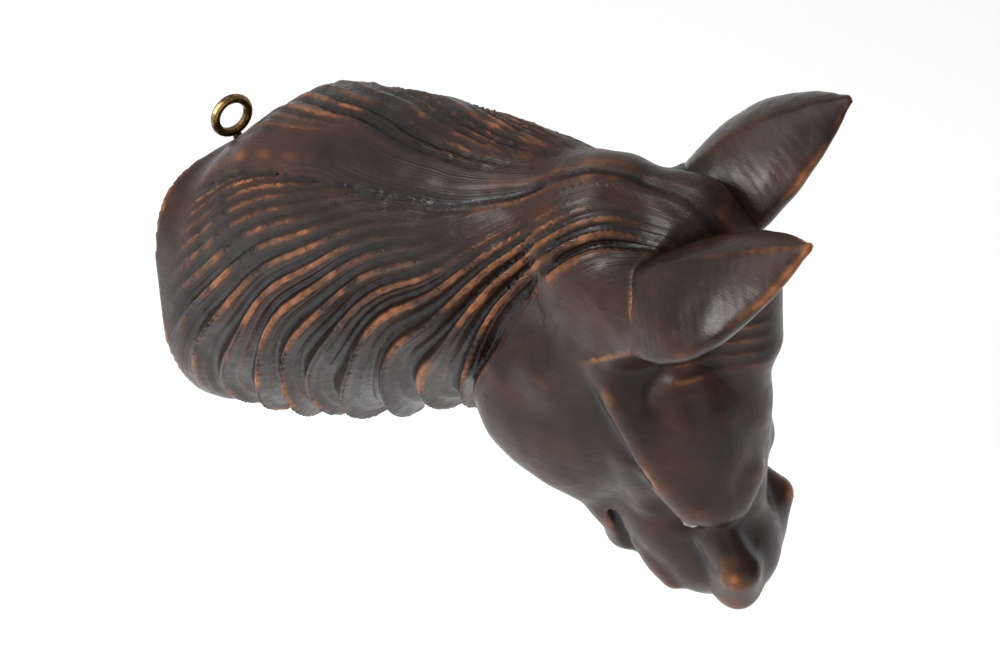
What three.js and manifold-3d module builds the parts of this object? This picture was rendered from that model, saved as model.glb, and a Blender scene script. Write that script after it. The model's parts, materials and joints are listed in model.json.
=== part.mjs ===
// A carved wooden horse head for a wall. It hangs from a brass screw eye in the top of its flat back.
// Millimetres. X across, Z up, the wall is the plane Y = 0 and the carving stands out towards -Y.
// The origin is the middle of the flat back face.
import * as THREE from 'three';
import { mergeVertices } from 'three/addons/utils/BufferGeometryUtils.js';
import ManifoldModule from 'manifold-3d';

const wasm = await ManifoldModule();
wasm.setup();
const { Manifold } = wasm;

// ---- Driving sizes -------------------------------------------------------------------------
const BACK_WIDTH = 70; // the flat face against the wall
const BACK_HEIGHT = 97;
const NECK_REACH = 155; // from the wall to the poll, the point between the ears
const POLL_OFFSET = 17; // how far the poll lies to the side of the middle of the back
const POLL_HEIGHT = 93.5;
const HEAD_LENGTH = 134; // poll to nose, along the face
const HEAD_TURN = 23.3; // degrees that the face turns to the side
const HEAD_PITCH = 16.8; // degrees that the nose leads a plumb line
const EAR_LENGTH = 56;
const EAR_WIDTH = 40;
const EAR_RIDGE = 13.5; // from the broad plane of the ear to the ridge down its back
const EAR_FRONT = 8; // from the same plane to the front, where the hollow is
const EYE_DIAMETER = 8;
const DOWEL_DIAMETER = 5;
const DOWEL_LENGTH = 24;
const RING_OUTER = 13.5;
const RING_WIRE = 2.7;
const SHANK_LENGTH = 17;
const SHANK_DIAMETER = 2.7;
const THREAD_DEPTH = 0.45;
const THREAD_PITCH = 1.5;
const LOCK_PITCH = 12; // between two locks of the mane
const LOCK_DEPTH = 2.6;

const GLUE_GAP = 0.3; // between two pieces that touch
const SOCKET_GAP = 0.45; // round the foot of an ear
const MESH_EDGE = 4.3; // grid step of the carved surfaces
const EAR_EDGE = 3.2;
const ROUND = 16; // sides of a turned piece

// ---- Fields: each gives the depth below its surface, positive inside -----------------------------
const clamp = (x, low, high) => Math.max(low, Math.min(high, x));
const mix = (a, b, t) => a + (b - a) * t;
const smooth = (low, high, x) => {
  const t = clamp((x - low) / (high - low), 0, 1);
  return t * t * (3 - 2 * t);
};

const join = (a, b, blend) => {
  const near = Math.max(blend - Math.abs(a - b), 0) / blend;
  return Math.max(a, b) + (near * near * blend) / 4;
};

const carve = (body, tool, blend) => -join(-body, tool, blend);

const ellipsoid = (p, centre, radii) => {
  const q = p.map((v, i) => (v - centre[i]) / radii[i]);
  const k0 = Math.hypot(...q);
  const k1 = Math.hypot(...q.map((v, i) => v / radii[i]));
  return k1 > 1e-9 ? (k0 * (1 - k0)) / k1 : Math.min(...radii);
};

// A limb between two points, with a radius at each end.
const limb = (p, a, b, radiusA, radiusB) => {
  const along = b.map((v, i) => v - a[i]);
  const from = p.map((v, i) => v - a[i]);
  const dot = from.reduce((sum, v, i) => sum + v * along[i], 0);
  const t = clamp(dot / along.reduce((sum, v) => sum + v * v, 0), 0, 1);
  return mix(radiusA, radiusB, t) - Math.hypot(...from.map((v, i) => v - along[i] * t));
};

// A curved ridge or groove through several points, each [side, dorsal, forward, radius].
const strand = (p, points) => {
  let depth = -1e3;
  for (let i = 0; i + 1 < points.length; i += 1) {
    const a = points[i];
    const b = points[i + 1];
    depth = Math.max(depth, limb(p, a.slice(0, 3), b.slice(0, 3), a[3], b[3]));
  }
  return depth;
};

// ---- Solids from three.js geometry ---------------------------------------------------------------
const solidOf = (positions, triangles) =>
  new Manifold(
    new wasm.Mesh({
      numProp: 3,
      vertProperties: new Float32Array(positions),
      triVerts: new Uint32Array(triangles),
    }),
  );

const asSolid = (geometry) => {
  geometry.deleteAttribute('normal');
  geometry.deleteAttribute('uv');
  const welded = mergeVertices(geometry, 1e-4);
  return solidOf(welded.attributes.position.array, welded.index.array);
};

// ---- Solids from a field -------------------------------------------------------------------------
// A checkerboard of inside and outside corners on one grid face would pinch the surface there, so
// its shallower inside corner goes outside. Corners only ever leave, so the rounds come to an end.
const settle = (depth, count, at) => {
  const steps = [[1, 0, 0], [0, 1, 0], [0, 0, 1]];
  let changed = true;
  while (changed) {
    changed = false;
    for (let axis = 0; axis < 3; axis += 1) {
      const [u, v] = [steps[(axis + 1) % 3], steps[(axis + 2) % 3]];
      for (let k = 0; k < count[2] - u[2] - v[2]; k += 1) {
        for (let j = 0; j < count[1] - u[1] - v[1]; j += 1) {
          for (let i = 0; i < count[0] - u[0] - v[0]; i += 1) {
            const ring = [
              at(i, j, k),
              at(i + u[0], j + u[1], k + u[2]),
              at(i + u[0] + v[0], j + u[1] + v[1], k + u[2] + v[2]),
              at(i + v[0], j + v[1], k + v[2]),
            ];
            const inside = ring.map((n) => depth[n] > 0);
            if (inside[0] !== inside[2] || inside[1] !== inside[3] || inside[0] === inside[1]) continue;
            const [a, b] = ring.filter((n) => depth[n] > 0);
            depth[depth[a] < depth[b] ? a : b] = -0.01;
            changed = true;
          }
        }
      }
    }
  }
};

// Slides a point along the field's slope until it lies on the surface.
const ontoSurface = (field, point, reach) => {
  const p = [...point];
  for (let round = 0; round < 3; round += 1) {
    const depth = field(p);
    const slope = p.map((v, i) => {
      const q = [...p];
      q[i] += 0.05;
      return (field(q) - depth) / 0.05;
    });
    const square = Math.max(slope.reduce((sum, v) => sum + v * v, 0), 0.25);
    p.forEach((v, i) => {
      p[i] = clamp(v - (depth * slope[i]) / square, point[i] - reach, point[i] + reach);
    });
  }
  return p;
};

// One vertex in each grid cell that the surface crosses, and one four-sided facet round each
// grid edge that it crosses.
const skin = (field, low, high, step) => {
  const count = low.map((v, i) => Math.ceil((high[i] - v) / step) + 1);
  const at = (i, j, k) => (k * count[1] + j) * count[0] + i;
  const place = (i, j, k) => [low[0] + i * step, low[1] + j * step, low[2] + k * step];
  const depth = new Float32Array(count[0] * count[1] * count[2]);
  for (let k = 0; k < count[2]; k += 1) {
    for (let j = 0; j < count[1]; j += 1) {
      for (let i = 0; i < count[0]; i += 1) {
        const edge = [i, j, k].some((n, axis) => n === 0 || n === count[axis] - 1);
        depth[at(i, j, k)] = edge ? -step : field(place(i, j, k));
      }
    }
  }
  settle(depth, count, at);

  const positions = [];
  const vertexOf = new Map();
  const cellVertex = (i, j, k) => {
    const key = at(i, j, k);
    if (vertexOf.has(key)) return vertexOf.get(key);
    const sum = [0, 0, 0];
    let crossings = 0;
    for (let axis = 0; axis < 3; axis += 1) {
      for (let corner = 0; corner < 4; corner += 1) {
        const from = [i, j, k];
        from[(axis + 1) % 3] += corner & 1;
        from[(axis + 2) % 3] += corner >> 1;
        const to = [...from];
        to[axis] += 1;
        const [a, b] = [depth[at(...from)], depth[at(...to)]];
        if (a > 0 === b > 0) continue;
        from[axis] += a / (a - b);
        from.forEach((v, n) => {
          sum[n] += v;
        });
        crossings += 1;
      }
    }
    const middle = place(...sum.map((v) => v / crossings));
    positions.push(ontoSurface(field, middle, step * 0.3));
    vertexOf.set(key, positions.length - 1);
    return positions.length - 1;
  };

  const distance = (a, b) => Math.hypot(...positions[a].map((v, n) => v - positions[b][n]));
  const triangles = [];
  for (let k = 0; k < count[2] - 1; k += 1) {
    for (let j = 0; j < count[1] - 1; j += 1) {
      for (let i = 0; i < count[0] - 1; i += 1) {
        for (let axis = 0; axis < 3; axis += 1) {
          const to = [i, j, k];
          to[axis] += 1;
          const inside = depth[at(i, j, k)] > 0;
          if (inside === depth[at(...to)] > 0) continue;
          const around = [[0, 0], [1, 0], [1, 1], [0, 1]].map(([u, v]) => {
            const cell = [i, j, k];
            cell[(axis + 1) % 3] -= u;
            cell[(axis + 2) % 3] -= v;
            return cellVertex(...cell);
          });
          if (!inside) around.reverse();
          const [a, b, c, d] = around;
          if (distance(a, c) < distance(b, d)) triangles.push(a, b, c, a, c, d);
          else triangles.push(b, c, d, b, d, a);
        }
      }
    }
  }
  return solidOf(positions.flat(), triangles);
};

// ---- The neck, section by section out from the wall ------------------------------------------------
const REACH = NECK_REACH / 155;
const TOP = BACK_HEIGHT / 2;
// Each row: distance from the wall, sideways shift, top, bottom, half width.
const NECK_ROWS = [
  [0, 0, TOP, -TOP, BACK_WIDTH / 2],
  [7 * REACH, 0, TOP + 4, -TOP + 3, BACK_WIDTH / 2 + 0.5],
  [16 * REACH, 0.5, TOP + 16, -TOP + 7, BACK_WIDTH / 2 + 1],
  [32 * REACH, 1, TOP + 31, -TOP + 13, BACK_WIDTH / 2 + 0.5],
  [65 * REACH, 3, TOP + 42, -TOP + 31, BACK_WIDTH / 2 - 2],
  [103 * REACH, 8, TOP + 47, -TOP + 57, BACK_WIDTH / 2 - 6],
  [135 * REACH, 13, TOP + 46, -TOP + 84, BACK_WIDTH / 2 - 12],
  [170 * REACH, 18, TOP + 40, -TOP + 110, BACK_WIDTH / 2 - 16],
];

const neckSection = (out) => {
  const rows = NECK_ROWS;
  const t = clamp(out, rows[0][0], rows[rows.length - 1][0]);
  let i = 0;
  while (i + 2 < rows.length && t > rows[i + 1][0]) i += 1;
  const part = (t - rows[i][0]) / (rows[i + 1][0] - rows[i][0]);
  const value = (column) => {
    const before = rows[Math.max(i - 1, 0)];
    const after = rows[Math.min(i + 2, rows.length - 1)];
    const [a, b] = [rows[i], rows[i + 1]];
    const width = b[0] - a[0];
    const slopeA = ((b[column] - before[column]) / (b[0] - before[0])) * width;
    const slopeB = ((after[column] - a[column]) / (after[0] - a[0])) * width;
    const square = part * part;
    const cube = square * part;
    return (
      (2 * cube - 3 * square + 1) * a[column] +
      (cube - 2 * square + part) * slopeA +
      (3 * square - 2 * cube) * b[column] +
      (cube - square) * slopeB
    );
  };
  const [side, top, bottom, half] = [1, 2, 3, 4].map(value);
  return { side, middle: (top + bottom) / 2, rise: (top - bottom) / 2, half };
};

// The mane parts along a line on the near shoulder of the crest. Hair leaves the parting swept
// back to the wall and then falls, so one number names the lock that a point lies on.
const PARTING = -0.75; // radians from the crest
const FALL = 2.0; // radians from the parting to the lower edge
const SWEEP = 100 * REACH;
const SWEEP_SHARE = 0.35;
const MANE_FRONT = 203 * REACH;

const maneAt = (angle, out) => {
  const parting = mix(PARTING, -0.1, smooth(95 * REACH, 150 * REACH, out));
  const near = angle < parting;
  const fall = near ? (parting - angle) / FALL : (angle - parting) / FALL;
  const lock = out + SWEEP * (1 - Math.exp(-fall / SWEEP_SHARE)) * (near ? 1 : 0.75);
  return { near, fall, lock };
};

const neckField = (p) => {
  const out = -p[1];
  const s = neckSection(out);
  const x = (p[0] - s.side) / s.half;
  const z = (p[2] - s.middle) / s.rise;
  const power = z > 0 ? 2.2 + 1.8 * Math.exp(-Math.max(out, 0) / (10 * REACH)) : 2.0;
  const radius = (Math.abs(x) ** power + Math.abs(z) ** power) ** (1 / power);
  let depth = (1 - radius) * Math.min(s.half, s.rise);
  const { near, fall, lock } = maneAt(Math.atan2(x, z), out);
  const ridge = 0.5 + 0.5 * Math.cos((2 * Math.PI * lock) / LOCK_PITCH);
  const strength = near ? smooth(0.1, 0.4, fall) : 0.5 * smooth(0.1, 0.4, fall);
  const ends = smooth(4, 20, out) * smooth(MANE_FRONT + 6, MANE_FRONT - 2, lock);
  depth -= LOCK_DEPTH * strength * ends * (1 - ridge);
  depth -= 3 * smooth(MANE_FRONT - 1, MANE_FRONT + 5, lock) * smooth(60 * REACH, 90 * REACH, out);
  return -join(-depth, out - 152 * REACH, 30);
};

// ---- The head, in its own frame: side (to its left), dorsal, forward (poll to nose) ----------------
const turn = THREE.MathUtils.degToRad(HEAD_TURN);
const pitch = THREE.MathUtils.degToRad(HEAD_PITCH);
const SIDE = new THREE.Vector3(Math.cos(turn), Math.sin(turn), 0);
const FORWARD = new THREE.Vector3(
  Math.sin(turn) * Math.sin(pitch),
  -Math.cos(turn) * Math.sin(pitch),
  -Math.cos(pitch),
);
const DORSAL = new THREE.Vector3().crossVectors(FORWARD, SIDE);
const POLL = new THREE.Vector3(POLL_OFFSET, -NECK_REACH, POLL_HEIGHT);
const HEAD = new THREE.Matrix4().makeBasis(SIDE, DORSAL, FORWARD).setPosition(POLL);
const HEAD_BACK = HEAD.clone().invert();
const GROW = HEAD_LENGTH / 134;

const inHead = (p) => {
  const q = new THREE.Vector3(...p).applyMatrix4(HEAD_BACK).divideScalar(GROW);
  return [q.x, q.y, q.z];
};

const EYE_PLACE = [14.5, -14.5, 84];

// A hooded brow hangs over each eye.
const BROW = [
  [20, -24, 26, 4.5],
  [21, -21.5, 42, 4.8],
  [20.5, -18.5, 56, 5.2],
  [19.5, -14.5, 67, 5.6],
  [18.5, -10.5, 77, 5.8],
  [15, -7.5, 84, 5.2],
  [11, -5.5, 85.5, 4.6],
  [7, -1.5, 78, 4],
];
// The forelock lies between the ears and ends half way down the forehead.
const FORELOCK = [
  [0, 0, 2, 12],
  [0, 7, 20, 12],
  [0, 5, 36, 11],
  [0, -3, 52, 9.5],
  [0, -9, 64, 8],
];

const headField = (q) => {
  const p = [Math.abs(q[0]), q[1], q[2]];
  let depth = ellipsoid(p, [0, -22, 14], [22, 24, 30]);
  depth = join(depth, ellipsoid(p, [0, -19, 50], [20, 21, 36]), 12);
  depth = join(depth, strand(p, FORELOCK), 9);
  depth = join(depth, limb(p, [0, -11, 60], [0, -16, 106], 16, 13), 12);
  // The root of the ear runs into the back of the cheek.
  depth = join(depth, strand(p, [[17, -13, 15, 10], [18, -24, 26, 6], [17, -40, 36, 5]]), 8);
  // Cheeks and the lower jaw.
  depth = join(depth, ellipsoid(p, [10, -41, 53], [13, 29, 27]), 10);
  depth = join(depth, limb(p, [7, -46, 70], [3, -40, 101], 9.5, 6), 8);
  depth = join(depth, ellipsoid(p, [0, -44, 102], [6.5, 5, 7.5]), 4);
  // Muzzle with flared nostrils, the upper lip and its edge.
  depth = join(depth, ellipsoid(p, [0, -22, 107], [13, 13, 14]), 8);
  depth = join(depth, ellipsoid(p, [4, -27, 90], [12.5, 12, 18]), 6);
  depth = join(depth, ellipsoid(p, [0, -11, 112], [13, 7, 8.5]), 5);
  depth = join(depth, strand(p, [[13, -9, 90, 3], [15.5, -5.5, 104, 6], [12.5, -8.5, 114, 6.5]]), 5);
  depth = join(depth, ellipsoid(p, [0, -31, 107], [11.5, 7.5, 10]), 4);
  depth = join(depth, strand(p, [[9, -34, 99, 3], [9, -29, 113, 3]]), 3);
  // The edge of the nose bone down to the nostril, and the cheek bone.
  depth = join(depth, strand(p, [[13.5, -12.5, 91, 2.6], [13, -11, 103, 2.4], [11, -9.5, 111, 2.6]]), 4);
  depth = join(depth, strand(p, [[19, -24, 60, 3.5], [14, -27, 80, 2]]), 6);
  depth = carve(depth, ellipsoid(p, [25, -7, 49], [9, 10, 18]), 5);
  // The brow is one smooth lobe; the left one is cut a little lower.
  const lobe = join(ellipsoid(p, [9, -9, 54], [15.5, 13, 27]), strand(p, BROW), 9);
  depth = join(depth, lobe - 1.5 * smooth(0, 5, q[0]), 3);
  depth = carve(depth, ellipsoid(p, [19, -16.5, 87], [5, 4.5, 5]), 3);
  // Mouth and nostrils.
  depth = carve(depth, limb(p, [0, -39.5, 92], [0, -39, 121], 1.8, 3.6), 2);
  depth = carve(depth, limb(p, [11, -39.5, 88], [9, -39, 118], 1.4, 3.2), 2);
  depth = carve(depth, limb(p, [13, -11, 120], [8.5, -13, 110], 3.2, 2.2), 2);
  return depth * GROW;
};

const carvingField = (p) => join(neckField(p), headField(inHead(p)), 9);

// ---- Ears: leaf shaped, with a ridge down the back and a hollow front -------------------------------
const EAR_FOOT = [16, -10, 16]; // in the head's frame, of the left ear
const EAR_TIP = { left: [30, 34, -12], right: [24, 35, -5] };
const EAR_BOW = -4; // how far the middle of an ear stands out from the line to its tip
// Which way the hollow faces: each ear turns by itself.
const FRONT_LOOKS = { left: [0.25, 0, 1], right: [-0.2, 0.3, 1] };

// x across the ear, y to its front, z to its tip
const earFrame = (hand) => {
  const foot = new THREE.Vector3(...EAR_FOOT);
  const axis = new THREE.Vector3(...EAR_TIP[hand]).sub(foot).normalize();
  const across = new THREE.Vector3(...FRONT_LOOKS[hand]).cross(axis).normalize();
  const front = new THREE.Vector3().crossVectors(axis, across);
  return new THREE.Matrix4().makeBasis(across, front, axis).setPosition(foot.multiplyScalar(GROW));
};

// Each row: share of the length, of the width and of the thickness.
const EAR_ROWS = [
  [-0.3, 0.55, 0.7],
  [0, 0.72, 0.85],
  [0.2, 0.92, 1],
  [0.4, 1, 0.98],
  [0.6, 0.88, 0.8],
  [0.8, 0.56, 0.5],
  [0.92, 0.27, 0.25],
  [1.0, 0.02, 0.03],
];

const earShape = (share) => {
  const rows = EAR_ROWS;
  const t = clamp(share, rows[0][0], 1);
  let i = 0;
  while (i + 2 < rows.length && t > rows[i + 1][0]) i += 1;
  const part = (t - rows[i][0]) / (rows[i + 1][0] - rows[i][0]);
  return [1, 2].map((column) => mix(rows[i][column], rows[i + 1][column], part));
};

const earField = (p) => {
  const share = p[2] / EAR_LENGTH;
  const [broad, thick] = earShape(share);
  const x = p[0] - EAR_BOW * 4 * share * (1 - share);
  const halfBroad = (EAR_WIDTH / 2) * broad;
  const halfThick = (p[1] < 0 ? EAR_RIDGE : EAR_FRONT) * thick;
  const power = p[1] < 0 ? 1.35 : 2;
  const radius = (Math.abs(x / halfBroad) ** power + Math.abs(p[1] / halfThick) ** power) ** (1 / power);
  let depth = (1 - radius) * Math.min(halfBroad, halfThick);
  depth = Math.min(depth, (EAR_LENGTH - p[2]) * 0.5);
  const hollow = ellipsoid(p, [EAR_BOW, EAR_FRONT + 1, EAR_LENGTH * 0.48], [8.5, 8, EAR_LENGTH * 0.34]);
  return carve(depth, hollow, 1.5);
};

// ---- Solids ----------------------------------------------------------------------------------------
const move = (solid, matrix) => solid.transform([...matrix.elements]);
const mirrorSide = new THREE.Matrix4().makeScale(-1, 1, 1);

const placeEar = (solid, hand) => {
  const placed = move(solid, earFrame(hand));
  return move(hand === 'left' ? placed : move(placed, mirrorSide), HEAD);
};

const earLow = [-EAR_WIDTH * 0.7, -EAR_RIDGE * 1.5, -2 * EAR_EDGE];
const earHigh = [EAR_WIDTH * 0.9, EAR_FRONT * 1.8, EAR_LENGTH + 2 * EAR_EDGE];
const earBlank = skin(earField, earLow, earHigh, EAR_EDGE).trimByPlane([0, 0, 1], GLUE_GAP);

const rod = (diameter, low, high) => {
  const geometry = new THREE.CylinderGeometry(diameter / 2, diameter / 2, high - low, ROUND);
  return asSolid(geometry.rotateX(Math.PI / 2).translate(0, 0, (low + high) / 2));
};

const dowel = rod(DOWEL_DIAMETER, -DOWEL_LENGTH / 2, DOWEL_LENGTH / 2);
const dowelHole = rod(
  DOWEL_DIAMETER + 2 * GLUE_GAP,
  -DOWEL_LENGTH / 2 - GLUE_GAP,
  DOWEL_LENGTH / 2 + GLUE_GAP,
);
const socketField = (p) => earField(p) + SOCKET_GAP;
const earSocket = skin(socketField, earLow, earHigh, EAR_EDGE).trimByPlane([0, 0, 1], 0);
const ear = earBlank.subtract(dowelHole);

const eyeCentre = (hand) => {
  const [side, dorsal, forward] = EYE_PLACE;
  return new THREE.Vector3(hand === 'left' ? side : -side, dorsal, forward).multiplyScalar(GROW).applyMatrix4(HEAD);
};
const ball = (diameter, centre) =>
  asSolid(new THREE.IcosahedronGeometry(diameter / 2, 2).translate(...centre.toArray()));

// Screw eye: its shank points down from the origin and the ring stands above it.
const RING_RADIUS = (RING_OUTER - RING_WIRE) / 2;
const RING_RISE = RING_OUTER / 2 + 0.9;
const RING_TURN = -8; // degrees from facing the wall square on
const RING_LEAN = 10; // degrees that the shank leans out of plumb
const EYE_BACK = 4.2; // from the wall to the shank
const EYE_SIDE = -4; // from the middle of the back

const turned = (profile) => {
  const geometry = new THREE.LatheGeometry(profile.map(([r, h]) => new THREE.Vector2(r, h)), ROUND);
  geometry.rotateX(Math.PI / 2);
  return geometry;
};

const threadProfile = () => {
  const core = SHANK_DIAMETER / 2;
  const points = [[0, -SHANK_LENGTH], [core * 0.35, -SHANK_LENGTH + 1.2]];
  for (let h = -SHANK_LENGTH + 2.4; h < -3.5; h += THREAD_PITCH) {
    points.push([core - THREAD_DEPTH, h], [core, h + THREAD_PITCH / 2]);
  }
  points.push([core, -2.4], [core, 0.6], [core * 0.9, 1.4], [0, 1.4]);
  return points;
};

const ring = asSolid(new THREE.TorusGeometry(RING_RADIUS, RING_WIRE / 2, 10, 28).rotateX(Math.PI / 2));
const screwEye = asSolid(turned(threadProfile())).add(ring.translate([0, 0, RING_RISE]));
const pilot = rod(SHANK_DIAMETER + 2 * GLUE_GAP, -SHANK_LENGTH - GLUE_GAP, 30);
const EYE_FOOT = TOP + 4; // height of the shank's shoulder, just above the wood
const eyeMatrix = new THREE.Matrix4()
  .makeRotationZ(THREE.MathUtils.degToRad(RING_TURN))
  .multiply(new THREE.Matrix4().makeRotationY(THREE.MathUtils.degToRad(-RING_LEAN)))
  .setPosition(EYE_SIDE, -EYE_BACK, EYE_FOOT);

const lowCorner = [-60, -NECK_REACH - 70, -TOP - 12];
const highCorner = [75, 6, TOP + 70];
let carving = skin(carvingField, lowCorner, highCorner, MESH_EDGE);
carving = carving.trimByPlane([0, -1, 0], 0).subtract(move(pilot, eyeMatrix));
const HANDS = ['left', 'right'];
for (const hand of HANDS) {
  carving = carving.subtract(placeEar(earSocket, hand));
  carving = carving.subtract(placeEar(dowelHole, hand));
  carving = carving.subtract(ball(EYE_DIAMETER + 2 * GLUE_GAP, eyeCentre(hand)));
}

// ---- Named pieces -----------------------------------------------------------------------------------
const WOOD = { color: 0x3b2418, roughness: 0.45, metalness: 0 };
const DOWEL_WOOD = { color: 0xa87b4f, roughness: 0.7, metalness: 0 };
const GLASS = { color: 0x1a0d06, roughness: 0.06, metalness: 0 };
const BRASS = { color: 0x6d5327, roughness: 0.4, metalness: 1 };

const group = new THREE.Group();
group.name = 'carved_horse_head';

const addPiece = (name, solid, finish) => {
  const body = solid.getMesh();
  const geometry = new THREE.BufferGeometry();
  geometry.setAttribute('position', new THREE.BufferAttribute(new Float32Array(body.vertProperties), 3));
  geometry.setIndex(new THREE.BufferAttribute(new Uint32Array(body.triVerts), 1));
  geometry.computeVertexNormals();
  const mesh = new THREE.Mesh(geometry, new THREE.MeshStandardMaterial(finish));
  mesh.name = name;
  group.add(mesh);
};

addPiece('carved_head', carving, WOOD);
for (const hand of HANDS) {
  addPiece(`${hand}_ear`, placeEar(ear, hand), WOOD);
  addPiece(`${hand}_ear_dowel`, placeEar(dowel, hand), DOWEL_WOOD);
  addPiece(`${hand}_eye`, ball(EYE_DIAMETER, eyeCentre(hand)), GLASS);
}
addPiece('screw_eye', move(screwEye, eyeMatrix), BRASS);

export default group;
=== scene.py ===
"""A carved wooden horse head for a wall: its fine surface and finishes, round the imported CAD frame."""
import json
import math

import bpy
import numpy as np
from mathutils import Matrix, Vector


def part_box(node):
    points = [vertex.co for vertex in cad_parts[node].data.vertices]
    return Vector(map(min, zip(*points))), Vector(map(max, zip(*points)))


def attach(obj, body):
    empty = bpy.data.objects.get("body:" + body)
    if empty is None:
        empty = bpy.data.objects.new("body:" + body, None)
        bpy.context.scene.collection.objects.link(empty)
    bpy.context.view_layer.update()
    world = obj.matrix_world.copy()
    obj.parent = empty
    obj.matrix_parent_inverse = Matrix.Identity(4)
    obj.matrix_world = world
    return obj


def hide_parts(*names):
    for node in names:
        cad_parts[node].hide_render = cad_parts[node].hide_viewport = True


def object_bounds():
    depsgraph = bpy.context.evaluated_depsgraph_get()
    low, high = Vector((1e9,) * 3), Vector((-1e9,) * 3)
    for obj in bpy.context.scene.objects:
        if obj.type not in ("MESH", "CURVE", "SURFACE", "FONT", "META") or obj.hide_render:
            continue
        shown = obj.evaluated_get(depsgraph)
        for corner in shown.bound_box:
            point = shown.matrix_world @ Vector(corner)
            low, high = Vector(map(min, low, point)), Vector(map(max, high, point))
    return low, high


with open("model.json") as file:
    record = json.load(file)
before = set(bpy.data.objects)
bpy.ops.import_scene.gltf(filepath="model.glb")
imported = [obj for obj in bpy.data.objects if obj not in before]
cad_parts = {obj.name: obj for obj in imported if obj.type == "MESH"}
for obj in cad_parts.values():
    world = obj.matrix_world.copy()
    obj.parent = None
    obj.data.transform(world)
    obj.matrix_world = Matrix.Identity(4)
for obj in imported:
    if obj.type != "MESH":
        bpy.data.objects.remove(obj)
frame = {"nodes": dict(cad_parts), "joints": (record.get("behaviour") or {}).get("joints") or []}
cad_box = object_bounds()

# ---- The carving's sizes, in millimetres as in the CAD model ------------------------------------
MM = 0.001
BACK_WIDTH, BACK_HEIGHT = 70.0, 97.0
NECK_REACH = 155.0
POLL = np.array([17.0, -NECK_REACH, 93.5])
HEAD_TURN, HEAD_PITCH = math.radians(23.3), math.radians(16.8)
EAR_LENGTH, EAR_WIDTH, EAR_RIDGE, EAR_FRONT, EAR_BOW = 56.0, 40.0, 13.5, 8.0, -4.0
EAR_FOOT = (16, -10, 16)
EAR_TIP = {"left": (30, 34, -12), "right": (24, 35, -5)}
EAR_LOOKS = {"left": (0.25, 0, 1), "right": (-0.2, 0.3, 1)}
EYE_PLACE, EYE_DIAMETER = (14.5, -14.5, 84), 8.0
EYE_GAP = 0.25  # between the eye and its socket
PILOT_RADIUS = 1.65  # the hole round the screw eye's shank
SHANK_LENGTH, PILOT_MOUTH = 17.3, 20.0  # how far the hole runs into the wood, and out past it
SEAM = 0.35  # that an ear's root lies inside its outline
ROOT_REACH, ROOT_FLARE = 9.0, 9.0  # how far the root runs along the ear, and how wide it flares
NECK_END, NECK_ROUND = NECK_REACH - 3, 30.0  # where the neck stops in the head, and how roundly
HEAD_BLEND = 7.0  # of the neck into the head
WALL_GAP = 0.02  # between the flat back and the wall's plane
CARVING_STEP = 1.05  # grid of the carved surface
EAR_STEP = 0.8
KNIFE_UNEVEN = 0.3  # soft unevenness left by the knife
MARK_PITCH, MARK_DEPTH = 2.3, 0.07  # knife marks across the back of an ear

LOCK_PITCH, LOCK_DEPTH = 12.5, 4.2
STRAND_PITCH, STRAND_DEPTH = 0.066, 1.5  # of the far side's fan; the pitch is a share of the fall
PARTING, FALL = -0.75, 2.0  # angles round the neck: the parting's, and from it to the hem
SWEEP, SWEEP_SHARE = 130.0, 0.3  # how far a lock runs back along the neck as it falls
MANE_FRONT = 234.0  # the mane's front edge, measured along the locks

# ---- The wear and the painted shade in the finish: how far each point stands out from its blurred surroundings ---
FINE_ROUNDS, FINE_SHARE, FINE_FULL = 6, 0.75, 0.35
BROAD_ROUNDS, BROAD_SHARE, BROAD_FULL = 40, 0.25, 1.4


# ---- Fields: the depth below a surface, positive inside. p is a list of three arrays ------------
def smooth(low, high, x):
    t = np.clip((x - low) / (high - low), 0, 1)
    return t * t * (3 - 2 * t)


def mix(a, b, t):
    return a + (b - a) * t


def join(a, b, blend):
    near = np.maximum(blend - np.abs(a - b), 0) / blend
    return np.maximum(a, b) + near * near * blend / 4


def carve(body, tool, blend):
    return -join(-body, tool, blend)


def ellipsoid(p, centre, radii):
    q = [(v - c) / r for v, c, r in zip(p, centre, radii)]
    k0 = np.sqrt(q[0] ** 2 + q[1] ** 2 + q[2] ** 2)
    k1 = np.sqrt(sum((v / r) ** 2 for v, r in zip(q, radii)))
    return k0 * (1 - k0) / np.maximum(k1, 1e-6)


def limb(p, a, b, radius_a, radius_b):
    """A round limb between two points, with a radius at each end."""
    along = np.subtract(b, a).astype(float)
    start = [v - c for v, c in zip(p, a)]
    t = np.clip(sum(v * c for v, c in zip(start, along)) / (along @ along), 0, 1)
    away = np.sqrt(sum((v - c * t) ** 2 for v, c in zip(start, along)))
    return mix(radius_a, radius_b, t) - away


def strand(p, points):
    """A ridge or groove through several points, each (side, dorsal, forward, radius)."""
    depth = -1e3
    for a, b in zip(points, points[1:]):
        depth = np.maximum(depth, limb(p, a[:3], b[:3], a[3], b[3]))
    return depth


def waves(p, pitch, seed):
    """Soft unevenness from 0 to 1, about a pitch across."""
    rng = np.random.default_rng(seed)
    total = 0
    for _ in range(5):
        direction = rng.normal(size=3)
        direction /= np.linalg.norm(direction)
        turns = sum(v * c for v, c in zip(p, direction)) * (rng.uniform(0.7, 1.5) / pitch)
        total = total + np.sin(2 * math.pi * (turns + rng.uniform()))
    return 0.5 + total / 10


# ---- The neck, section by section out from the wall ---------------------------------------------
TOP = BACK_HEIGHT / 2
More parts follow.
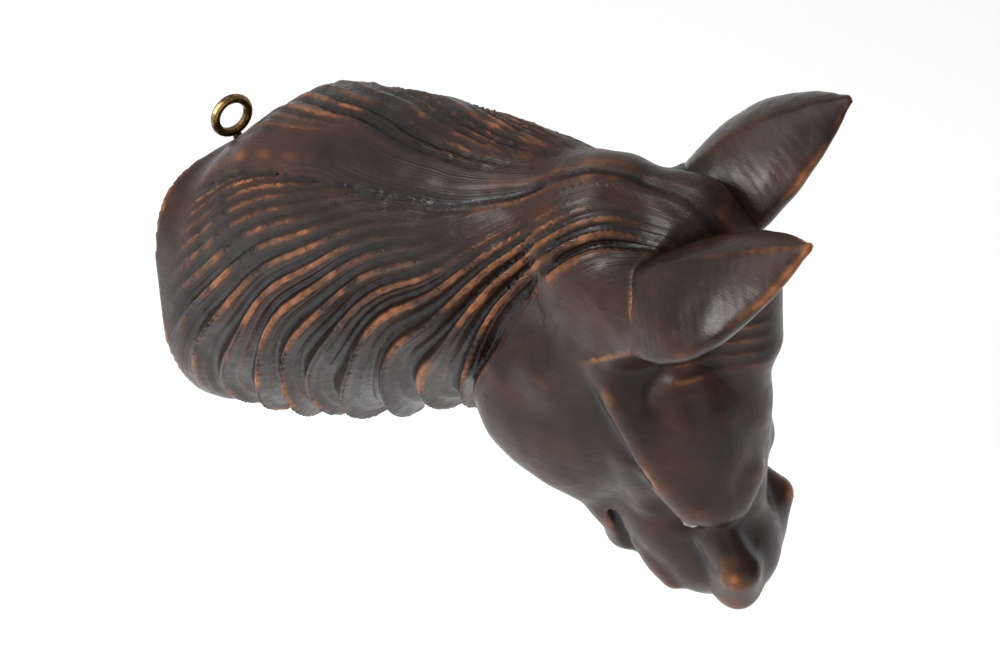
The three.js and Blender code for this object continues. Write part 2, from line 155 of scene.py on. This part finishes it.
# Each row: distance from the wall, sideways shift, top, bottom, half width.
NECK_ROWS = np.array([
    [0, 0, TOP, -TOP, BACK_WIDTH / 2],
    [7, 0, TOP + 4, -TOP + 3, BACK_WIDTH / 2 + 0.5],
    [16, 0.5, TOP + 16, -TOP + 7, BACK_WIDTH / 2 + 1],
    [32, 1, TOP + 31, -TOP + 13, BACK_WIDTH / 2 + 0.5],
    [65, 3, TOP + 42, -TOP + 31, BACK_WIDTH / 2 - 2],
    [103, 8, TOP + 47, -TOP + 57, BACK_WIDTH / 2 - 6],
    [135, 13, TOP + 46, -TOP + 84, BACK_WIDTH / 2 - 12],
    [170, 18, TOP + 40, -TOP + 110, BACK_WIDTH / 2 - 16],
])


def neck_section(out):
    """Side, middle, rise and half width at each distance from the wall, on smooth curves."""
    rows = NECK_ROWS
    t = np.clip(out, rows[0, 0], rows[-1, 0])
    i = np.clip(np.searchsorted(rows[:, 0], t, side="right") - 1, 0, len(rows) - 2)
    a, b = rows[i], rows[i + 1]
    before, after = rows[np.maximum(i - 1, 0)], rows[np.minimum(i + 2, len(rows) - 1)]
    width = (b[..., 0] - a[..., 0])[..., None]
    part = (t - a[..., 0])[..., None] / width
    slope_a = (b - before) / (b[..., :1] - before[..., :1]) * width
    slope_b = (after - a) / (after[..., :1] - a[..., :1]) * width
    square, cube = part**2, part**3
    value = ((2 * cube - 3 * square + 1) * a + (cube - 2 * square + part) * slope_a
             + (3 * square - 2 * cube) * b + (cube - square) * slope_b)
    side, top, bottom, half = (value[..., n] for n in (1, 2, 3, 4))
    return side, (top + bottom) / 2, (top - bottom) / 2, half


def gouge(turns, roundness=1.0):
    """0 on each sharp crest and 1 along the bottom of the round cut between two."""
    return np.abs(np.sin(math.pi * turns)) ** roundness


def neck_field(p):
    out = -p[1]
    side, middle, rise, half = neck_section(out)
    x, z = (p[0] - side) / half, (p[2] - middle) / rise
    power = np.where(z > 0, 2.2 + 1.8 * np.exp(-np.maximum(out, 0) / 10), 2.0)
    radius = (np.abs(x) ** power + np.abs(z) ** power) ** (1 / power)
    depth = (1 - radius) * np.minimum(half, rise)
    return -join(-depth, out - NECK_END, NECK_ROUND)


def mane_at(p):
    """Where a point lies in the mane: its side, its fall from the parting, and its lock."""
    out = -p[1]
    side, middle, rise, half = neck_section(out)
    angle = np.arctan2((p[0] - side) / half, (p[2] - middle) / rise)
    parting = mix(PARTING, -0.1, smooth(95, 150, out))
    near = angle < parting
    fall = np.abs(parting - angle) / FALL
    wander = 1.7 * np.sin(0.083 * out + 3.1 * fall) + 1.2 * np.sin(0.17 * out - 4.3 * fall + 1.3)
    lock = out + SWEEP * (1 - np.exp(-fall / SWEEP_SHARE)) + wander
    fan = fall * 100 / np.maximum(165 - out, 25) / STRAND_PITCH
    fan = fan + 0.12 * wander + smooth(0.55, 1.3, fall) * out / 14
    return out, near, fall, lock, np.where(near, lock / LOCK_PITCH, fan)


def mane_cuts(p):
    """How deep the mane is cut at each point, and the step down from it to the bare neck."""
    out, near, fall, lock, turns = mane_at(p)
    # The near side: deep locks that deepen as they fall, each split by finer cuts.
    start = mix(0.15, 0.03, smooth(80, 120, out))
    near_cut = LOCK_DEPTH * mix(start, 1.0, smooth(0.08, 0.5, fall)) * gouge(turns)
    split = 0.55 + 0.45 * np.sin(turns * 2.3 + 0.6)
    near_cut += 1.5 * split * smooth(0.15, 0.5, fall) * gouge(turns * 2.0 + 0.31)
    near_cut += 0.8 * (1.1 - split) * smooth(0.3, 0.6, fall) * gouge(turns * 3.0 + 0.12)
    near_cut -= 1.6 * smooth(0.25, 0.55, fall)
    # The far side: fine, flat strands that fan out from the poll.
    uneven = 0.6 + 0.4 * np.sin(turns * 1.7 + 0.9)
    far_cut = STRAND_DEPTH * uneven * gouge(turns)
    far_cut += 0.5 * smooth(75, 45, out) * gouge(turns * 2.0 + 0.35)
    far_cut *= smooth(0.05, 0.25, fall) * smooth(130, 85, out)
    part_cut = 1.2 * np.exp(-((fall / 0.03) ** 2))
    front = np.where(near, lock, out + 60)
    ends = smooth(3, 22, out) * smooth(MANE_FRONT + 4, MANE_FRONT - 1, front)
    cut = ends * (np.where(near, near_cut, far_cut) + part_cut)
    step = 3.5 * smooth(MANE_FRONT - 1, MANE_FRONT + 2, front) * smooth(60, 90, out)
    return cut, step * smooth(0.1, 0.25, fall)


# ---- The head, in its own frame: side, dorsal (face side), forward (poll to nose) ---------------
SIDE = np.array([math.cos(HEAD_TURN), math.sin(HEAD_TURN), 0])
FORWARD = np.array([
    math.sin(HEAD_TURN) * math.sin(HEAD_PITCH),
    -math.cos(HEAD_TURN) * math.sin(HEAD_PITCH),
    -math.cos(HEAD_PITCH),
])
DORSAL = np.cross(FORWARD, SIDE)

BROW = [(20, -24, 26, 4.5), (21, -21.5, 42, 4.8), (20.5, -18.5, 56, 5.2), (19.5, -14.5, 67, 5.6),
        (18.5, -10.5, 76, 5.8), (15, -7.5, 80.5, 5.2), (11.5, -5, 82, 4.6), (7.5, -1, 76, 4)]
NOSE_RIDGE = [(13.5, -12.5, 91, 2.6), (13, -11, 103, 2.4), (11, -9.5, 111, 2.6)]
FORELOCK = [(0, 0, 2, 12), (0, 7, 20, 12), (0, 5, 36, 11), (0, -3, 52, 9.5), (0, -9, 64, 8)]


def in_head(p):
    start = [v - c for v, c in zip(p, POLL)]
    return [sum(v * c for v, c in zip(start, axis)) for axis in (SIDE, DORSAL, FORWARD)]


def head_field(q):
    p = [np.abs(q[0]), q[1], q[2]]
    depth = ellipsoid(p, (0, -22, 14), (22, 24, 30))
    depth = join(depth, ellipsoid(p, (0, -19, 50), (20, 21, 36)), 12)
    depth = join(depth, strand(p, FORELOCK), 9)
    depth = join(depth, limb(p, (0, -11, 60), (0, -16, 106), 16, 13), 12)
    depth = join(depth, strand(p, [(17, -13, 15, 10), (18, -24, 26, 6), (17, -40, 36, 5)]), 8)
    depth = join(depth, ellipsoid(p, (10, -41, 53), (13, 29, 27)), 10)
    depth = join(depth, limb(p, (7, -46, 70), (3, -40, 101), 9.5, 6), 8)
    depth = join(depth, ellipsoid(p, (0, -44, 102), (6.5, 5, 7.5)), 4)
    depth = join(depth, ellipsoid(p, (0, -22, 107), (13, 13, 14)), 8)
    depth = join(depth, ellipsoid(p, (4, -27, 90), (12.5, 12, 18)), 6)
    depth = join(depth, ellipsoid(p, (0, -8.5, 107), (14, 8, 13)), 5)
    depth = join(depth, strand(p, [(13, -9, 90, 3), (15.5, -5.5, 103, 6), (12.5, -9, 112, 6)]), 5)
    depth = join(depth, ellipsoid(p, (0, -31, 107), (11.5, 7.5, 10)), 4)
    depth = join(depth, strand(p, [(9, -34, 99, 3), (9, -29, 113, 3)]), 3)
    depth = join(depth, strand(p, NOSE_RIDGE), 4)
    depth = join(depth, strand(p, [(19, -24, 60, 3.5), (14, -27, 80, 2)]), 5)
    depth = carve(depth, ellipsoid(p, (25, -7, 49), (9, 10, 18)), 5)
    # The brow is one smooth lobe with a crisp edge; the far one is cut a little lower.
    lobe = join(ellipsoid(p, (9, -8.5, 57), (15, 13.5, 29)), strand(p, BROW), 9)
    depth = join(depth, lobe - 1.5 * smooth(0, 5, q[0]), 2)
    depth = carve(depth, ellipsoid(p, (19, -16.5, 87), (5, 4.5, 5)), 2)
    # A crease follows the outside of the brow, and skin folds lie between the brow and the ear.
    crease = [(24.5, -27, 40, 0.9), (24.8, -23, 56, 1.2), (23.8, -19, 66, 1.0)]
    depth = carve(depth, strand(p, crease), 1.2)
    fold = smooth(17, 24, p[2]) * smooth(44, 34, p[2]) * smooth(-12, -2, p[1]) * smooth(4, 8, p[0])
    depth = depth - 0.55 * fold * gouge((p[2] + 0.25 * p[0]) / 4.2)
    # Mouth and nostrils.
    depth = carve(depth, limb(p, (0, -39.5, 92), (0, -39, 121), 1.8, 3.6), 1.2)
    depth = carve(depth, limb(p, (11, -39.5, 88), (9, -39, 118), 1.4, 3.2), 1.2)
    depth = carve(depth, limb(p, (13, -11, 120), (8.5, -13, 110), 3.2, 2.2), 1.2)
    return depth


# ---- Ears: a ridge down the back, a hollow front ------------------------------------------------
# Each row: share of the length, of the width and of the thickness.
EAR_ROWS = np.array([[-0.3, 0.55, 0.7], [0, 0.72, 0.85], [0.2, 0.92, 1], [0.4, 1, 0.98],
                     [0.6, 0.88, 0.8], [0.8, 0.56, 0.5], [0.92, 0.27, 0.25], [1, 0.02, 0.03]])


def ear_axes(hand):
    """Axes across the ear, to its front and to its tip, with its foot, in the head's frame."""
    foot = np.array(EAR_FOOT, float)
    axis = np.subtract(EAR_TIP[hand], foot)
    axis /= np.linalg.norm(axis)
    across = np.cross(EAR_LOOKS[hand], axis)
    across /= np.linalg.norm(across)
    return (across, np.cross(axis, across), axis), foot


def in_ear(p, hand):
    """Points of the head's frame in the ear's own; the right ear is seen in a mirror."""
    axes, foot = ear_axes(hand)
    sign = 1 if hand == "left" else -1
    start = [p[0] * sign - foot[0], p[1] - foot[1], p[2] - foot[2]]
    return [sum(v * c for v, c in zip(start, axis)) for axis in axes]


def from_ear(points, hand):
    axes, foot = ear_axes(hand)
    q = points @ np.array(axes) + foot
    q[:, 0] *= 1 if hand == "left" else -1
    return q @ np.array([SIDE, DORSAL, FORWARD]) + POLL


def ear_field(p):
    share = p[2] / EAR_LENGTH
    # The rows are eased so that no crease rings the ear.
    broad = sum(np.interp(share + d, EAR_ROWS[:, 0], EAR_ROWS[:, 1]) for d in (-0.05, 0, 0.05)) / 3
    thick = sum(np.interp(share + d, EAR_ROWS[:, 0], EAR_ROWS[:, 2]) for d in (-0.05, 0, 0.05)) / 3
    x = p[0] - EAR_BOW * 4 * share * (1 - share)
    half_broad = EAR_WIDTH / 2 * broad
    half_thick = np.where(p[1] < 0, EAR_RIDGE, EAR_FRONT) * thick
    power = np.where(p[1] < 0, 1.3, 2.0)
    radius = (np.abs(x / half_broad) ** power + np.abs(p[1] / half_thick) ** power) ** (1 / power)
    depth = (1 - radius) * np.minimum(half_broad, half_thick)
    depth = np.minimum(depth, (EAR_LENGTH - p[2]) * 0.5)
    hollow = ellipsoid(p, (EAR_BOW, EAR_FRONT + 1, EAR_LENGTH * 0.48), (8.5, 8, EAR_LENGTH * 0.34))
    return carve(depth, hollow, 1.2)


def ear_surface(p):
    """The finished ear: knife marks run across its back."""
    marks = gouge(p[2] / MARK_PITCH + 0.12 * np.sin(p[0] * 0.5)) * smooth(0, -4, p[1])
    depth = ear_field(p) - MARK_DEPTH * marks - KNIFE_UNEVEN * waves(p, 9, 5)
    return np.minimum(depth, p[2] - 0.3)


# ---- The screw eye's place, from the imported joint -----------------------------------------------
turn_joint = frame["joints"][0]
SCREW_FOOT = np.array(turn_joint["pos_m"]) / MM
SCREW_AXIS = np.array(turn_joint["axis"], float)


def carving_surface(p):
    """The finished carving: neck and head, with the mane, the sockets and the pilot hole cut."""
    q = in_head(p)
    ears = {hand: in_ear(q, hand) for hand in ("left", "right")}
    cut, step = mane_cuts(p)
    neck, head = neck_field(p) - step, head_field(q)
    on_neck = smooth(-4, 2, neck - head)
    on_poll = smooth(15, 8, q[2] + 0.012 * q[0] ** 2) * smooth(-40, -26, q[1])
    depth = join(neck, head, HEAD_BLEND) - cut * np.maximum(on_neck, on_poll)
    for hand, e in ears.items():
        # The wood flares up round the foot of each ear and meets its sides.
        root = np.minimum(ear_field(e) - SEAM, (ROOT_REACH - np.abs(e[2])) * 0.6)
        depth = join(depth, root, ROOT_FLARE)
        side = EYE_PLACE[0] * (1 if hand == "left" else -1)
        socket = ellipsoid(q, (side, *EYE_PLACE[1:]), (EYE_DIAMETER / 2 + EYE_GAP,) * 3)
        depth = np.minimum(depth, -socket)
    pilot = limb(p, SCREW_FOOT - SCREW_AXIS * SHANK_LENGTH, SCREW_FOOT + SCREW_AXIS * PILOT_MOUTH,
                 PILOT_RADIUS, PILOT_RADIUS)
    depth = np.minimum(depth, -pilot)
    depth = depth - KNIFE_UNEVEN * waves(p, 11, 3)
    return np.minimum(depth, -p[1] - WALL_GAP)


# ---- From a field to a mesh ---------------------------------------------------------------------
def grid_values(field, low, count, step):
    values = np.empty(count, np.float32)
    axes = [low[n] + step * np.arange(count[n]) for n in range(3)]
    for start in range(0, count[0], 16):
        stop = min(start + 16, count[0])
        block = np.meshgrid(axes[0][start:stop], axes[1], axes[2], indexing="ij")
        values[start:stop] = field(block)
    for n in range(3):
        edge = [slice(None)] * 3
        for edge[n] in (0, -1):
            values[tuple(edge)] = -step
    return values


def skin(field, low, high, step):
    """One point in each grid cell that the surface crosses, one facet round each crossed edge."""
    low = np.asarray(low, float)
    count = tuple(int(n) for n in np.ceil((np.asarray(high) - low) / step) + 1)
    values = grid_values(field, low, count, step)
    inside = values > 0
    cells = tuple(n - 1 for n in count)
    total = np.zeros(cells + (3,))
    crossings = np.zeros(cells)
    loops = []
    for axis in range(3):
        u, v = (axis + 1) % 3, (axis + 2) % 3
        near = [slice(None)] * 3
        far = [slice(None)] * 3
        near[axis], far[axis] = slice(0, -1), slice(1, None)
        near, far = tuple(near), tuple(far)
        at = np.argwhere(inside[near] != inside[far])
        a = values[near][tuple(at.T)]
        b = values[far][tuple(at.T)]
        cut = at.astype(float)
        cut[:, axis] += a / (a - b)
        around = []
        for du, dv in ((0, 0), (1, 0), (1, 1), (0, 1)):
            cell = at.copy()
            cell[:, u] -= du
            cell[:, v] -= dv
            np.add.at(total, tuple(cell.T), cut)
            np.add.at(crossings, tuple(cell.T), 1)
            around.append(np.ravel_multi_index(tuple(cell.T), cells))
        quads = np.stack(around, 1)
        flip = a <= 0
        quads[flip] = quads[flip][:, ::-1]
        loops.append(quads)
    used = np.flatnonzero(crossings.ravel())
    points = low + step * total.reshape(-1, 3)[used] / crossings.ravel()[used, None]
    number = np.zeros(crossings.size, np.int64)
    number[used] = np.arange(len(used))
    return onto_surface(field, points, step * 0.45), number[np.concatenate(loops)]


def onto_surface(field, points, reach):
    """Slides each point along the field's slope until it lies on the surface."""
    start = points.copy()
    nudge = 0.04
    for _ in range(3):
        here = field(list(points.T))
        slope = np.stack([
            (field([v + nudge * (n == axis) for n, v in enumerate(points.T)]) - here) / nudge
            for axis in range(3)
        ], 1)
        square = np.maximum((slope**2).sum(1), 0.25)
        points = points - slope * (here / square)[:, None]
        points = np.clip(points, start - reach, start + reach)
    return points


def edges_of(quads):
    pairs = np.concatenate([quads[:, [n, (n + 1) % 4]] for n in range(4)])
    return np.unique(np.sort(pairs, 1), axis=0)


def averaged(values, edges, rounds):
    """Values blurred over their neighbours on the mesh."""
    count = np.bincount(edges.ravel(), minlength=len(values))
    count = count.reshape((-1,) + (1,) * (values.ndim - 1))
    for _ in range(rounds):
        total = np.zeros_like(values)
        np.add.at(total, edges[:, 0], values[edges[:, 1]])
        np.add.at(total, edges[:, 1], values[edges[:, 0]])
        values = 0.5 * values + 0.5 * total / np.maximum(count, 1)
    return values


def normals_of(points, quads):
    a, b, c, d = (points[quads[:, n]] for n in range(4))
    face = np.cross(c - a, d - b)
    total = np.zeros_like(points)
    for n in range(4):
        np.add.at(total, quads[:, n], face)
    return total / np.maximum(np.linalg.norm(total, axis=1), 1e-9)[:, None]


def piece(name, points, quads, material, hair=None):
    """A smooth mesh that knows how proud or sunk each point is, for the wear on its crests and the
    painted shade in its hollows.
    """
    edges = edges_of(quads)
    normals = normals_of(points, quads)
    fine = ((points - averaged(points, edges, FINE_ROUNDS)) * normals).sum(1)
    broad = ((points - averaged(points, edges, BROAD_ROUNDS)) * normals).sum(1)
    proud = FINE_SHARE * fine / FINE_FULL + BROAD_SHARE * broad / BROAD_FULL
    proud = averaged(proud, edges, 1)
    mesh = bpy.data.meshes.new(name)
    mesh.from_pydata([], [], [])
    mesh.vertices.add(len(points))
    mesh.vertices.foreach_set("co", (points * MM).astype(np.float32).ravel())
    mesh.loops.add(quads.size)
    mesh.loops.foreach_set("vertex_index", quads.astype(np.int32).ravel())
    mesh.polygons.add(len(quads))
    mesh.polygons.foreach_set("loop_start", np.arange(0, quads.size, 4, dtype=np.int32))
    mesh.update(calc_edges=True)
    mesh.validate()
    mesh.polygons.foreach_set("use_smooth", [True] * len(mesh.polygons))
    attribute = mesh.attributes.new("proud", "FLOAT", "POINT")
    attribute.data.foreach_set("value", np.clip(proud, -1, 1).astype(np.float32))
    if hair is not None:
        attribute = mesh.attributes.new("hair", "FLOAT", "POINT")
        attribute.data.foreach_set("value", hair.astype(np.float32))
    mesh.materials.append(material)
    made = bpy.data.objects.new(name, mesh)
    bpy.context.scene.collection.objects.link(made)
    return made


# ---- Finishes -----------------------------------------------------------------------------------
class Finish:
    """A small helper that adds nodes to one material."""

    def __init__(self, name, colour):
        self.material = bpy.data.materials.new(name)
        self.material.use_nodes = True
        self.material.diffuse_color = (*colour, 1)
        self.tree = self.material.node_tree
        self.shader = self.tree.nodes["Principled BSDF"]
        self.shader.inputs["Base Color"].default_value = (*colour, 1)

    def add(self, kind, **settings):
        node = self.tree.nodes.new(kind)
        for key, value in settings.items():
            setattr(node, key, value)
        return node

    def link(self, source, target):
        self.tree.links.new(source, target)

    def set(self, **values):
        for key, value in values.items():
            self.shader.inputs[key.replace("_", " ")].default_value = value

    def place(self, scale):
        """Coordinates in the piece's own space, stretched by scale."""
        where = self.add("ShaderNodeTexCoord")
        mapping = self.add("ShaderNodeMapping")
        mapping.inputs["Scale"].default_value = scale
        self.link(where.outputs["Object"], mapping.inputs["Vector"])
        return mapping.outputs["Vector"]

    def noise(self, scale, stretch=(1, 1, 1), detail=4.0, roughness=0.6):
        node = self.add("ShaderNodeTexNoise")
        node.inputs["Scale"].default_value = scale
        node.inputs["Detail"].default_value = detail
        node.inputs["Roughness"].default_value = roughness
        self.link(self.place(stretch), node.inputs["Vector"])
        return node.outputs["Fac"]

    def span(self, source, low, high, to_low=0.0, to_high=1.0):
        node = self.add("ShaderNodeMapRange", interpolation_type="SMOOTHSTEP")
        ends = {"From Min": low, "From Max": high, "To Min": to_low, "To Max": to_high}
        for key, value in ends.items():
            node.inputs[key].default_value = value
        self.link(source, node.inputs["Value"])
        return node.outputs["Result"]

    def sum(self, a, b, operation="ADD"):
        node = self.add("ShaderNodeMath", operation=operation)
        for socket, value in zip(node.inputs, (a, b)):
            if isinstance(value, (int, float)):
                socket.default_value = value
            else:
                self.link(value, socket)
        return node.outputs[0]

    def blend(self, share, a, b, mode="MIX"):
        node = self.add("ShaderNodeMix", data_type="RGBA", blend_type=mode)
        if isinstance(share, (int, float)):
            node.inputs["Factor"].default_value = share
        else:
            self.link(share, node.inputs["Factor"])
        for socket, value in zip((node.inputs[6], node.inputs[7]), (a, b)):
            if isinstance(value, tuple):
                socket.default_value = (*value, 1)
            else:
                self.link(value, socket)
        return node.outputs[2]

    def bump(self, height, strength, distance):
        node = self.add("ShaderNodeBump")
        node.inputs["Strength"].default_value = strength
        node.inputs["Distance"].default_value = distance
        self.link(height, node.inputs["Height"])
        self.link(node.outputs["Normal"], self.shader.inputs["Normal"])


def stained_wood():
    f = Finish("stained_wood", (0.05, 0.022, 0.012))
    proud = f.add("ShaderNodeAttribute", attribute_name="proud").outputs["Fac"]
    # The grain runs out from the wall, along the neck.
    grain = f.noise(900, (1, 0.05, 1), detail=5)
    bands = f.noise(95, (1, 0.12, 1), detail=3)
    cloud = f.noise(28, detail=5)
    fleck = f.noise(260, detail=4)
    stain_and_shade = f.blend(f.span(cloud, 0.35, 0.7), (0.008, 0.0035, 0.0025), (0.032, 0.0105, 0.005))
    stain_and_shade = f.blend(f.span(bands, 0.45, 0.7, 0, 0.5), stain_and_shade, (0.048, 0.015, 0.006))
    stain_and_shade = f.blend(f.span(grain, 0.45, 0.75, 0, 0.35), stain_and_shade, (0.008, 0.004, 0.003))
    # Rubbed crests show orange brown, in patches; the cuts are darkened to near black as painted shade.
    patch = f.sum(f.span(cloud, 0.42, 0.62), f.span(fleck, 0.35, 0.65, 0.45, 1.0), "MULTIPLY")
    crest = f.span(proud, 0.14, 0.7)
    worn = f.sum(crest, patch, "MULTIPLY")
    stain_and_shade = f.blend(worn, stain_and_shade, (0.30, 0.105, 0.034))
    # Painted shade: the sunken points are mixed towards near black.
    stain_and_shade = f.blend(f.span(proud, 0.0, -0.5, 0, 0.92), stain_and_shade, (0.005, 0.003, 0.0025))
    f.link(stain_and_shade, f.shader.inputs["Base Color"])
    shine = f.span(f.sum(fleck, f.sum(cloud, 0.6, "MULTIPLY")), 0.5, 1.1, 0.26, 0.46)
    f.link(shine, f.shader.inputs["Roughness"])
    f.set(Coat_Weight=0.1, Coat_Roughness=0.2, Specular_IOR_Level=0.22)
    # Fine cuts run along every strand of the mane.
    hair = f.add("ShaderNodeAttribute", attribute_name="hair").outputs["Fac"]
    strands = f.add("ShaderNodeTexNoise", noise_dimensions="1D")
    strands.inputs["Scale"].default_value = 7.0
    strands.inputs["Detail"].default_value = 2.0
    f.link(hair, strands.inputs["W"])
    marks = f.sum(f.sum(grain, 0.4, "MULTIPLY"), f.sum(fleck, 0.5, "MULTIPLY"))
    marks = f.sum(marks, f.sum(strands.outputs["Fac"], 1.6, "MULTIPLY"))
    f.bump(marks, 0.4, 0.0005)
    return f.material


def dowel_wood():
    f = Finish("dowel_wood", (0.5, 0.32, 0.18))
    grain = f.noise(700, (1, 1, 0.05))
    colour = f.blend(f.span(grain, 0.35, 0.7), (0.55, 0.36, 0.2), (0.38, 0.22, 0.11))
    f.link(colour, f.shader.inputs["Base Color"])
    f.set(Roughness=0.7)
    f.bump(grain, 0.3, 0.0002)
    return f.material


def eye_glass():
    f = Finish("eye_glass", (0.05, 0.025, 0.012))
    iris = f.noise(400, detail=2)
    colour = f.blend(iris, (0.012, 0.006, 0.003), (0.05, 0.024, 0.01))
    f.link(colour, f.shader.inputs["Base Color"])
    f.set(Roughness=0.05, Coat_Weight=1.0, Coat_Roughness=0.03)
    return f.material


def old_brass():
    f = Finish("old_brass", (0.3, 0.2, 0.08))
    tarnish = f.noise(320, detail=5)
    pits = f.noise(1500, detail=2)
    dull = f.span(tarnish, 0.38, 0.62)
    colour = f.blend(dull, (0.42, 0.27, 0.11), (0.07, 0.045, 0.022))
    f.link(colour, f.shader.inputs["Base Color"])
    f.link(f.span(tarnish, 0.35, 0.65, 0.28, 0.5), f.shader.inputs["Roughness"])
    f.set(Metallic=1.0)
    f.bump(pits, 0.2, 0.0001)
    return f.material


# ---- The pieces ---------------------------------------------------------------------------------
wood, dowel, glass, brass = stained_wood(), dowel_wood(), eye_glass(), old_brass()


def around(node, margin):
    """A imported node's box with a margin round it, in millimetres."""
    low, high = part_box(node)
    return np.array(low) / MM - margin, np.array(high) / MM + margin


def make_carving():
    low, high = around("carved_head", 4)
    points, quads = skin(carving_surface, low, high, CARVING_STEP)
    p = list(points.T)
    _, near, fall, _, turns = mane_at(p)
    q = in_head(p)
    covered = np.maximum(neck_field(p) - head_field(q) > 0, (q[2] < 10) & (q[1] > -30))
    strands = np.where(near, turns * smooth(0.0, 0.1, fall), turns)
    hair = np.where(covered, strands, 0)
    made = piece("horse_head_carving", points, quads, wood, hair)
    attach(made, "carving")
    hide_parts("carved_head")


def make_ear(hand):
    low = [-EAR_WIDTH * 0.8, -EAR_RIDGE * 1.4, -3]
    high = [EAR_WIDTH * 0.8, EAR_FRONT * 1.8, EAR_LENGTH + 3]
    points, quads = skin(ear_surface, low, high, EAR_STEP)
    if hand == "right":
        quads = quads[:, ::-1]
    made = piece(f"carved_{hand}_ear", from_ear(points, hand), quads, wood)
    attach(made, "carving")
    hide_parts(f"{hand}_ear")


def finish_node(node, material, smooth_shading):
    data = frame["nodes"][node].data
    data.materials.clear()
    data.materials.append(material)
    data.polygons.foreach_set("use_smooth", [smooth_shading] * len(data.polygons))


make_carving()
for hand in ("left", "right"):
    make_ear(hand)
    finish_node(f"{hand}_ear_dowel", dowel, False)
    finish_node(f"{hand}_eye", glass, True)
finish_node("screw_eye", brass, True)


# ---- Stage, light and camera, in metres ---------------------------------------------------------
FLOOR_REACH, FLOOR_DROP = 6.0, 0.25  # half the floor's width, and how far it lies below the part
AIM = Vector((0.0283, -0.0783, 0.0063))
VIEW_TURN, VIEW_RISE, VIEW_DISTANCE = math.radians(-45), math.radians(40), 0.65
LENS = 80.7  # in millimetres
BRIGHT_SIDE = (-0.6, 0.45, 0.5)
ROOM_DARK, ROOM_BRIGHT = 0.05, 0.95


def floor_paper():
    f = Finish("floor_paper", (0.93, 0.93, 0.93))
    f.set(Roughness=0.9, Emission_Color=(1, 1, 1, 1), Emission_Strength=0.15)
    return f.material


def make_floor():
    low = min(v[2] for v in cad_box)
    reach = FLOOR_REACH
    mesh = bpy.data.meshes.new("floor")
    corners = [(-reach, -reach, 0), (reach, -reach, 0), (reach, reach, 0), (-reach, reach, 0)]
    mesh.from_pydata(corners, [], [(0, 1, 2, 3)])
    mesh.materials.append(floor_paper())
    floor = bpy.data.objects.new("floor", mesh)
    floor.location.z = low - FLOOR_DROP
    bpy.context.scene.collection.objects.link(floor)


def make_light(name, place, aim, size, power):
    data = bpy.data.lights.new(name, "AREA")
    data.size = size
    data.energy = power
    light = bpy.data.objects.new(name, data)
    light.location = place
    light.rotation_euler = (Vector(aim) - Vector(place)).to_track_quat("-Z", "Y").to_euler()
    bpy.context.scene.collection.objects.link(light)


def make_camera():
    back = Vector((math.sin(VIEW_TURN) * math.cos(VIEW_RISE),
                   -math.cos(VIEW_TURN) * math.cos(VIEW_RISE), math.sin(VIEW_RISE)))
    right = Vector((math.cos(VIEW_TURN), math.sin(VIEW_TURN), 0))
    up = back.cross(right)
    data = bpy.data.cameras.new("camera")
    data.lens = LENS
    data.clip_start = 0.01
    camera = bpy.data.objects.new("camera", data)
    axes = Matrix((right, up, back)).transposed().to_4x4()
    camera.matrix_world = Matrix.Translation(AIM + back * VIEW_DISTANCE) @ axes
    bpy.context.scene.collection.objects.link(camera)
    bpy.context.scene.camera = camera


def make_world():
    world = bpy.data.worlds.new("studio")
    world.use_nodes = True
    nodes, links = world.node_tree.nodes, world.node_tree.links
    sky = nodes["Background"]
    sky.inputs["Strength"].default_value = 1.0
    # The room is brighter on the side of the key light.
    where = nodes.new("ShaderNodeTexCoord")
    turned = nodes.new("ShaderNodeVectorMath")
    turned.operation = "DOT_PRODUCT"
    turned.inputs[1].default_value = BRIGHT_SIDE
    room = nodes.new("ShaderNodeMapRange")
    ends = {"From Min": -1.0, "From Max": 1.0, "To Min": ROOM_DARK, "To Max": ROOM_BRIGHT}
    for key, value in ends.items():
        room.inputs[key].default_value = value
    links.new(where.outputs["Generated"], turned.inputs[0])
    links.new(turned.outputs["Value"], room.inputs["Value"])
    links.new(room.outputs["Result"], sky.inputs["Color"])
    bpy.context.scene.world = world
    bpy.context.scene.view_settings.view_transform = "Standard"


make_floor()
make_world()
make_light("key_light", (-0.95, 0.1, 0.6), AIM, 0.45, 11)
make_light("top_light", (-0.4, 0.3, 1.2), AIM, 0.6, 3)
make_light("fill_light", (-0.3, -1.2, 0.2), AIM, 0.8, 1.5)
make_camera()
